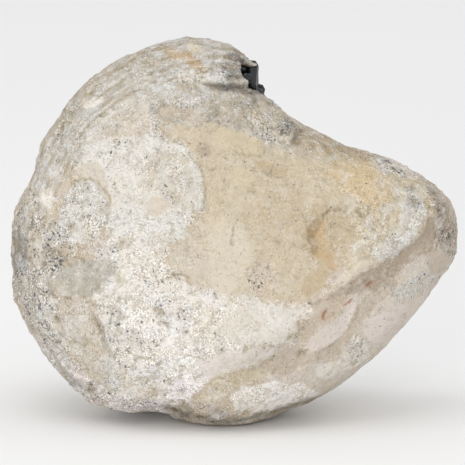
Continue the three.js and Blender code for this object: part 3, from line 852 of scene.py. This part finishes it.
def colour_face(coats, surface):
    """The broad side: its areas, streaks, painted shade where it turns away from the front, and creases, some
    of which are painted shadows and highlights.
    """
    for area in AREAS:
        coats.lay(area.tone, area.strength * surface.inside(area.outline, area.blur, area.wander))
    streaks, streaked = streaks_of(surface)
    coats.lay(BROWN, 0.6 * streaked * ramp(streaks, 0.1, 0.45))
    coats.lay(WHITE, 0.5 * streaked * ramp(-streaks, 0.1, 0.45))
    # Painted shade: a drab tone where the face turns away from the front, on its left and upper edges.
    sideways, towards, upwards = surface.facing.T
    painted_shade_margin = ramp(towards, -0.55, -0.1) * ramp(-sideways, -0.4, 0.1) * ramp(upwards, -0.6, -0.1)
    coats.lay(DRAB, 0.42 * painted_shade_margin * surface.front)
    for crease in CREASES:
        coats.lay(crease.tone, crease.strength * surface.on_line(crease))


def streaks_of(surface):
    """Streaks that run round the face, and how much of them shows: only towards its upper left."""
    out = np.hypot(surface.across, surface.up)
    turn = np.arctan2(surface.up, surface.across)
    round_face = np.stack([out / 1.3, 3.5 * turn, 0 * out], axis=1) + 0.5 * surface.drift[0][:, None]
    streaked = ramp(out, 58, 68) * ramp(surface.up, 5, 25) * ramp(-surface.across, -24, -8)
    return waves(round_face, 1, 22, 2), streaked * surface.front


def colour_break(coats, surface):
    """The broken rock, which whitens beside the crystals, and the hollow's wall."""
    coats.lay(MIST, surface.broken)
    coats.lay(SAND, surface.broken * 0.8 * ramp(waves(surface.place, 12, 15, 3), 0.0, 0.3))
    whitened = ramp(surface.beside_crust + 0.25 * waves(surface.place, 7, 18, 2), 0.05, 0.3)
    coats.lay(COOL_WHITE, surface.broken * whitened)
    coats.lay(COOL_WHITE, surface.lining * ramp(from_notch(surface.place), 10, 16))


def keep(piece, name, kind, values):
    """Keeps a value or a colour at each point of a piece, for its material."""
    layer = piece.data.attributes.new(name, kind, "POINT")
    layer.data.foreach_set("color" if kind == "FLOAT_COLOR" else "value", values.ravel())


def colour_points(rind, dirt_and_shade):
    """Keeps at each point what the stone's material asks for."""
    surface = Surface(rind)
    coats = Coats(len(surface.place), DUST)
    colour_sides(coats, surface)
    colour_face(coats, surface)
    colour_break(coats, surface)
    keep(rind, "tone", "FLOAT_COLOR", np.column_stack([coats.tone, np.ones(len(coats.tone))]))
    coarse, specks = texture_of(surface)
    keep(rind, "coarse", "FLOAT", coarse)
    keep(rind, "specks", "FLOAT", specks)
    keep(rind, "dirt_and_shade", "FLOAT", dirt_and_shade)


# ---- Finishes ----

MIX_SHARE, MIX_FIRST, MIX_SECOND = 0, 6, 7  # where a Mix node takes its share and two colours
MIXED = 2  # and where it gives their mix


class Finish:
    """A material, with short ways to add and join its nodes."""

    def __init__(self, name):
        self.material = bpy.data.materials.new(name)
        self.material.use_nodes = True
        self.tree = self.material.node_tree
        self.shader = self.tree.nodes["Principled BSDF"]
        self.place = self.add("TexCoord").outputs["Object"]

    def add(self, kind, **settings):
        made = self.tree.nodes.new("ShaderNode" + kind)
        for name, value in settings.items():
            setattr(made, name, value)
        return made

    def feed(self, socket, value):
        """Gives a socket a link or a plain value."""
        if isinstance(value, bpy.types.NodeSocket):
            self.tree.links.new(value, socket)
        else:
            socket.default_value = value

    def kept(self, name, output="Fac"):
        """What was kept at the piece's points under a name."""
        return self.add("Attribute", attribute_name=name).outputs[output]

    def grain(self, size, detail=3, roughness=0.55, skew=0.0):
        """Noise whose swellings are about size millimetres across, from 0 to 1. Skew twists it."""
        made = self.add("TexNoise")
        self.feed(made.inputs["Vector"], self.place)
        made.inputs["Scale"].default_value = 1 / (size * MM)
        made.inputs["Detail"].default_value = detail
        made.inputs["Roughness"].default_value = roughness
        made.inputs["Distortion"].default_value = skew
        return made.outputs["Fac"]

    def span(self, value, low, high, start=0.0, end=1.0):
        """A value between low and high as a smooth share, or as a number from start to end."""
        made = self.add("MapRange", interpolation_type="SMOOTHSTEP")
        for socket, given in zip(made.inputs, (value, low, high, start, end)):
            self.feed(socket, given)
        return made.outputs["Result"]

    def math(self, how, first, second):
        made = self.add("Math", operation=how)
        self.feed(made.inputs[0], first)
        self.feed(made.inputs[1], second)
        return made.outputs[0]

    def mix(self, share, first, second, how="MIX"):
        made = self.add("Mix", data_type="RGBA", blend_type=how)
        self.feed(made.inputs[MIX_SHARE], share)
        self.feed(made.inputs[MIX_FIRST], first)
        self.feed(made.inputs[MIX_SECOND], second)
        return made.outputs[MIXED]

    def over(self, tone, colour, share, strength):
        """Lays a screen colour over a tone, as far as a pattern times a strength."""
        return self.mix(self.math("MULTIPLY", share, strength), tone, (*linear(*colour), 1))

    def bump(self, height, distance, strength):
        made = self.add("Bump")
        made.inputs["Strength"].default_value = strength
        made.inputs["Distance"].default_value = distance * MM
        self.feed(made.inputs["Height"], height)
        return made.outputs["Normal"]


def blotched(finish, tone, coarse):
    """Warm, cool, white and muddy blotches, most of them stronger on coarser stone."""
    warm = finish.span(finish.grain(13, 4, 0.6, 0.6), 0.5, 0.6)
    tone = finish.over(tone, WARM, warm, 0.2)
    cool = finish.span(finish.grain(10, 4, 0.6, 0.4), 0.52, 0.6)
    tone = finish.over(tone, COOL, cool, finish.span(coarse, 0.4, 1, 0, 0.3))
    bloom = finish.span(finish.grain(4.6, 6, 0.66, 0.5), 0.51, 0.57)
    tone = finish.over(tone, BLOOM, bloom, finish.span(coarse, 0.2, 1, 0, 0.34))
    mud = finish.span(finish.grain(4.0, 6, 0.66, 0.7), 0.52, 0.59)
    return finish.over(tone, MUD, mud, finish.span(coarse, 0.2, 1, 0.05, 0.42))


def grained(finish, tone, fine, rough):
    """Light and dark grains, in patches."""
    patches = finish.math("MULTIPLY", rough, finish.span(finish.grain(6.5, 4, 0.6, 0.5), 0.44, 0.56, 0.25, 1))
    shade = finish.math("MULTIPLY", finish.span(fine, 0.36, 0.64, -0.5, 0.4), patches)
    return finish.mix(1.0, tone, finish.math("ADD", shade, 1.0), "MULTIPLY")


def squiggles(finish, pattern, width):
    """Thin lines where a noise passes its middle value."""
    off_middle = finish.math("ABSOLUTE", finish.math("SUBTRACT", pattern, 0.5), 0)
    return finish.span(off_middle, 0, width, 1, 0)


def lined(finish, tone):
    """Hairlines, and darkening in the pits and creases, partly dirt and partly painted shade."""
    patches = finish.span(finish.grain(12, 2), 0.44, 0.54)
    hairline = finish.math("MULTIPLY", squiggles(finish, finish.grain(8, 5, 0.6, 0.8), 0.013), patches)
    tone = finish.over(tone, EARTH, hairline, 0.4)
    # Dirt and painted shade in the pits and creases, in a tan tone.
    return finish.over(tone, TAN, finish.kept("dirt_and_shade"), 0.6)


def specked(finish, tone):
    """Dark dots and flecks, which gather in patches."""
    patches = finish.span(finish.grain(9, 3), 0.42, 0.62, 0.35, 1)
    gathered = finish.math("MULTIPLY", finish.kept("specks"), patches)
    dots = finish.math("SUBTRACT", finish.grain(0.9, 3, 0.75), finish.span(gathered, 0, 1, 0.63, 0.5))
    tone = finish.over(tone, SOOT, finish.span(dots, 0, 0.02), 0.6)
    flecks = finish.math("SUBTRACT", finish.grain(1.5, 2, 0.6, 0.3), finish.span(gathered, 0, 1, 0.7, 0.545))
    return finish.over(tone, INK, finish.span(flecks, 0, 0.03), 0.8)


def chalky_stone():
    """The stone's tone, blotches, grain, specks, and dirt and painted shade in its pits and creases, with a
    fine relief.
    """
    finish = Finish("chalky_stone")
    coarse = finish.kept("coarse")
    rough = finish.span(coarse, 0.2, 1.5, 0.2, 2)
    fine = finish.grain(0.7, 5, 0.85)
    tone = blotched(finish, finish.kept("tone", "Color"), coarse)
    tone = specked(finish, lined(finish, grained(finish, tone, fine, rough)))
    finish.feed(finish.shader.inputs["Base Color"], tone)
    finish.feed(finish.shader.inputs["Roughness"], finish.span(fine, 0.3, 0.7, 0.8, 0.95))
    finish.shader.inputs["Specular IOR Level"].default_value = 0.3
    grit = finish.math("MULTIPLY", finish.grain(2.2, 6, 0.7, 0.3), rough)
    wrinkles = finish.math("MULTIPLY", squiggles(finish, finish.grain(2.8, 4, 0.6, 1.2), 0.02), 0.07)
    relief = finish.math("SUBTRACT", grit, wrinkles)
    finish.feed(finish.shader.inputs["Normal"], finish.bump(relief, 0.65, 1.0))
    return finish.material


# ---- The crystals ----

FORWARD = OPENING / np.linalg.norm(OPENING)
SIDE = np.cross([0, 0, 1], FORWARD) / np.linalg.norm(np.cross([0, 0, 1], FORWARD))
UPRIGHT = np.cross(FORWARD, SIDE)
HOLLOW_REACH = (50, 42, 45)  # across, upright and deep
WALL_CRYSTALS = 480  # tries, some of which find no room
WALL_SEED = 7
EDGE_CRYSTALS = 170
EDGE_SEED = 11
TIP_THICKNESS = 0.12
ROOT_TAPER = 0.84
CLEAR_CRYSTAL = (0.84, 0.92, 0.98, 1)
# Painted shade: the near-black colour of the crystals at the notch, which sit in shade.
PAINTED_SHADE_CRYSTAL = (0.015, 0.025, 0.03, 1)
CRYSTAL_DEPTH = (0.45, 0.65, 0.85, 1)  # what light turns to on its way through
# How far from the notch the crystals are painted with shade.
DARK_WITHIN = 10  # millimetres from the notch
CLEAR_PAST = 13


def depth_in_hollow(places):
    """0 at the hollow's middle and 1 at its wall."""
    away = places - HOLLOW_MIDDLE
    parts = [away @ axis / reach for axis, reach in zip((SIDE, UPRIGHT, FORWARD), HOLLOW_REACH)]
    return np.linalg.norm(np.stack(parts), axis=0)


def pick_faces(piece, test):
    """In edit mode, selects the faces whose middle and normal pass a test."""
    bpy.ops.mesh.select_all(action="DESELECT")
    bpy.ops.object.mode_set(mode="OBJECT")
    for face in piece.data.polygons:
        face.select = bool(test(face.center, face.normal))
    bpy.ops.object.mode_set(mode="EDIT")


def grow_crystal(name, flatness, shoulder, edge, lean, bevel):
    """A six-sided crystal with a chisel tip, one unit across and one long, that stands on the origin.

    Its tip begins at the shoulder, and is as wide as edge and off the middle by lean.
    """
    start_afresh()
    bpy.ops.mesh.primitive_cylinder_add(vertices=6, radius=0.5, depth=shoulder, location=(0, 0, shoulder / 2))
    crystal = bpy.context.object
    crystal.name = crystal.data.name = name
    bpy.ops.object.transform_apply(location=True, rotation=True, scale=True)
    bpy.ops.object.mode_set(mode="EDIT")
    bpy.ops.mesh.select_mode(type="FACE")
    bpy.ops.mesh.select_all(action="SELECT")
    bpy.ops.transform.resize(value=(1, flatness, 1), center_override=(0, 0, 0))
    pick_faces(crystal, lambda middle, normal: normal.z < -0.9)
    bpy.ops.transform.resize(value=(ROOT_TAPER, ROOT_TAPER, 1), center_override=(0, 0, 0))
    pick_faces(crystal, lambda middle, normal: normal.z > 0.9)
    bpy.ops.mesh.extrude_region_move(TRANSFORM_OT_translate={"value": (lean, 0, 1 - shoulder)})
    bpy.ops.transform.resize(value=(edge, TIP_THICKNESS, 1), center_override=(lean, 0, 1))
    if bevel:
        bpy.ops.mesh.select_all(action="SELECT")
        bpy.ops.mesh.bevel(offset=bevel, segments=1, affect="EDGES")
    bpy.ops.object.mode_set(mode="OBJECT")
    return crystal


def plant(master, root, along, width, length, turn):
    """A copy of a crystal at a root, in the upright nodule, with its size and direction in its mesh."""
    direction = as_standing([root + along])[0] - as_standing([root])[0]
    stand = Vector(direction).to_track_quat("Z", "Y").to_matrix().to_4x4()
    size = Matrix.Diagonal((width * MM, width * MM, length * MM, 1))
    mesh = master.data.copy()
    mesh.transform(Matrix.Translation(as_standing([root])[0]) @ stand @ Matrix.Rotation(turn, 4, "Z") @ size)
    return bpy.data.objects.new(master.name + "_grown", mesh)


def scattered(piece, allowed, count, chance):
    """Random places on the allowed faces, each with the way its face points, in the upright nodule."""
    faces = piece.data.polygons
    corners = in_nodule(points_of(piece))[[list(face.vertices) for face in faces]]
    facing = np.cross(corners[:, 1] - corners[:, 0], corners[:, 2] - corners[:, 0])
    sizes = np.linalg.norm(facing, axis=1)
    facing /= np.maximum(sizes, 1e-9)[:, None]
    sizes[~allowed(corners.mean(1), facing)] = 0
    for face in chance.choices(range(len(faces)), weights=sizes.tolist(), k=count):
        a, b = sorted((chance.random(), chance.random()))
        yield corners[face].T @ (a, b - a, 1 - b), facing[face]


def on_wall(place, facing):
    """Faces of the hollow's wall that look inward."""
    inward = outwardness(place, facing) < -0.25
    return inward & (depth_in_hollow(place) > 0.62) & (place @ OPENING < BREAK_OUT - 1)


def on_edge(place, facing):
    """Faces of the crust's broken edge, apart from the notch."""
    return (facing @ OPENING > 0.75) & (place @ OPENING > BREAK_OUT - 4) & (place[:, 2] < 52)


def unevenly(chance, spread):
    return np.array([chance.uniform(-spread, spread) for _ in range(3)])


def wall_crystals(crust, masters):
    """Small crystals all over the hollow's wall, each leaning its own way off it."""
    chance = random.Random(WALL_SEED)
    grown = []
    for place, facing in scattered(crust, on_wall, WALL_CRYSTALS, chance):
        width = chance.uniform(1.8, 4.8)
        length = width * chance.uniform(1.3, 2.2)
        along = facing + unevenly(chance, 0.55)
        along /= np.linalg.norm(along)
        root = place - along * min(1.6, 0.35 * length)
        tip_inside = (root + along * length) @ OPENING < BREAK_OUT + 1.5
        if tip_inside and depth_in_hollow(root[None])[0] < 0.97:
            master = chance.choice(masters)
            grown.append(plant(master, root, along, width, length, chance.uniform(0, math.pi)))
    return grown


def edge_crystals(crust, masters):
    """Crystals side by side across the crust's broken edge, which point into the hollow."""
    chance = random.Random(EDGE_SEED)
    grown = []
    for place, facing in scattered(crust, on_edge, EDGE_CRYSTALS, chance):
        inward = HOLLOW_MIDDLE - place
        inward -= FORWARD * (inward @ FORWARD)
        along = inward / np.linalg.norm(inward) + FORWARD * chance.uniform(-0.05, 0.3)
        along += unevenly(chance, 0.25)
        along /= np.linalg.norm(along)
        width = chance.uniform(1.8, 3.4)
        root = place - along * 2.4 - FORWARD * chance.uniform(-0.1, 0.3) * width
        length = chance.uniform(4, 7)
        master = chance.choice(masters)
        grown.append(plant(master, root, along, width, length, chance.uniform(0, math.pi)))
    return grown


def join_grown(crust, grown):
    """Grows the crystals together with the crust into one solid."""
    together = bpy.data.collections.new("growing")
    bpy.context.scene.collection.children.link(together)
    for crystal in grown:
        together.objects.link(crystal)
    apply_modifier(crust, "BOOLEAN", operation="UNION", operand_type="COLLECTION", collection=together,
                   solver="MANIFOLD")
    for crystal in grown:
        bpy.data.objects.remove(crystal)
    bpy.data.collections.remove(together)


NOTCH_CRYSTALS = [
    # root, tip, width, turn
    ([14.4, -7.0, 58.5], [15.0, -8.5, 71.0], 5.8, 0.35),
    ([10.9, -6.0, 60.5], [10.6, -9.5, 70.0], 5.6, 0.9),
    ([12.2, -7.0, 57.5], [12.6, -12.0, 65.8], 5.0, 0.1),
    ([16.4, -6.5, 52.5], [17.0, -8.5, 60.8], 5.8, 0.2),
]


def notch_crystals(master):
    """The large crystals that show over the rim."""
    grown = []
    for root, tip, width, turn in NOTCH_CRYSTALS:
        along = np.subtract(tip, root)
        length = np.linalg.norm(along)
        grown.append(plant(master, np.array(root), along / length, width, length, turn))
    return grown


def grown_crust():
    crust = copy_of_node("crystal_crust", "celestite_crust")
    masters = [
        grow_crystal("blade", 0.6, 0.62, 0.5, 0.06, 0),
        grow_crystal("stout", 0.8, 0.5, 0.35, -0.05, 0),
        grow_crystal("wedge", 0.7, 0.7, 0.7, 0.1, 0),
    ]
    block = grow_crystal("block", 0.9, 0.84, 0.62, 0.02, 0.05)
    grown = wall_crystals(crust, masters) + edge_crystals(crust, masters) + notch_crystals(block)
    join_grown(crust, grown)
    for master in masters + [block]:
        bpy.data.objects.remove(master)
    off_notch = from_notch(in_nodule(points_of(crust)))
    # How far each point is painted with the notch's shade.
    keep(crust, "shade", "FLOAT", ramp(-off_notch, -CLEAR_PAST, -DARK_WITHIN))
    return crust


def celestite():
    """Pale blue and see-through in the hollow, and painted almost black at the notch for the shade there, as
    far as shade says.
    """
    finish = Finish("celestite")
    shader = finish.shader
    shade = finish.kept("shade")
    # Painted shade: near black at the notch.
    tone = finish.mix(shade, CLEAR_CRYSTAL, PAINTED_SHADE_CRYSTAL)
    finish.feed(shader.inputs["Base Color"], tone)
    shader.inputs["Transmission Weight"].default_value = 0.72
    shader.inputs["IOR"].default_value = 1.62
    shader.inputs["Specular IOR Level"].default_value = 0.25
    finish.feed(shader.inputs["Roughness"], finish.span(finish.grain(3.5, 4), 0.4, 0.7, 0.04, 0.28))
    finish.feed(shader.inputs["Normal"], finish.bump(finish.grain(1.1, 3, 0.6, 0.5), 0.12, 0.35))
    depth = finish.add("VolumeAbsorption")
    depth.inputs["Color"].default_value = CRYSTAL_DEPTH
    depth.inputs["Density"].default_value = 6
    output = finish.tree.nodes["Material Output"]
    finish.tree.links.new(depth.outputs["Volume"], output.inputs["Volume"])
    return finish.material


# ---- The whole scene ----


def make_rind():
    rind = copy_of_node("rind", "stone_rind")
    for middle, half_sizes in NOTCH_ROCK:
        add_lump(rind, middle, half_sizes)
    apply_modifier(rind, "REMESH", mode="VOXEL", voxel_size=VOXEL, adaptivity=0)
    soften(rind)
    refine_face(rind)
    colour_points(rind, carve(rind))
    take_up(rind)
    bpy.ops.object.shade_smooth()
    rind.data.materials.append(chalky_stone())
    return rind


def make_crust():
    crust = grown_crust()
    crust.data.materials.clear()
    crust.data.materials.append(celestite())
    crust.data.polygons.foreach_set("material_index", [0] * len(crust.data.polygons))
    return crust


def put_in_place(piece, node):
    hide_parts(node)
    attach(piece, "root")


set_studio()
put_in_place(make_rind(), "rind")
put_in_place(make_crust(), "crystal_crust")
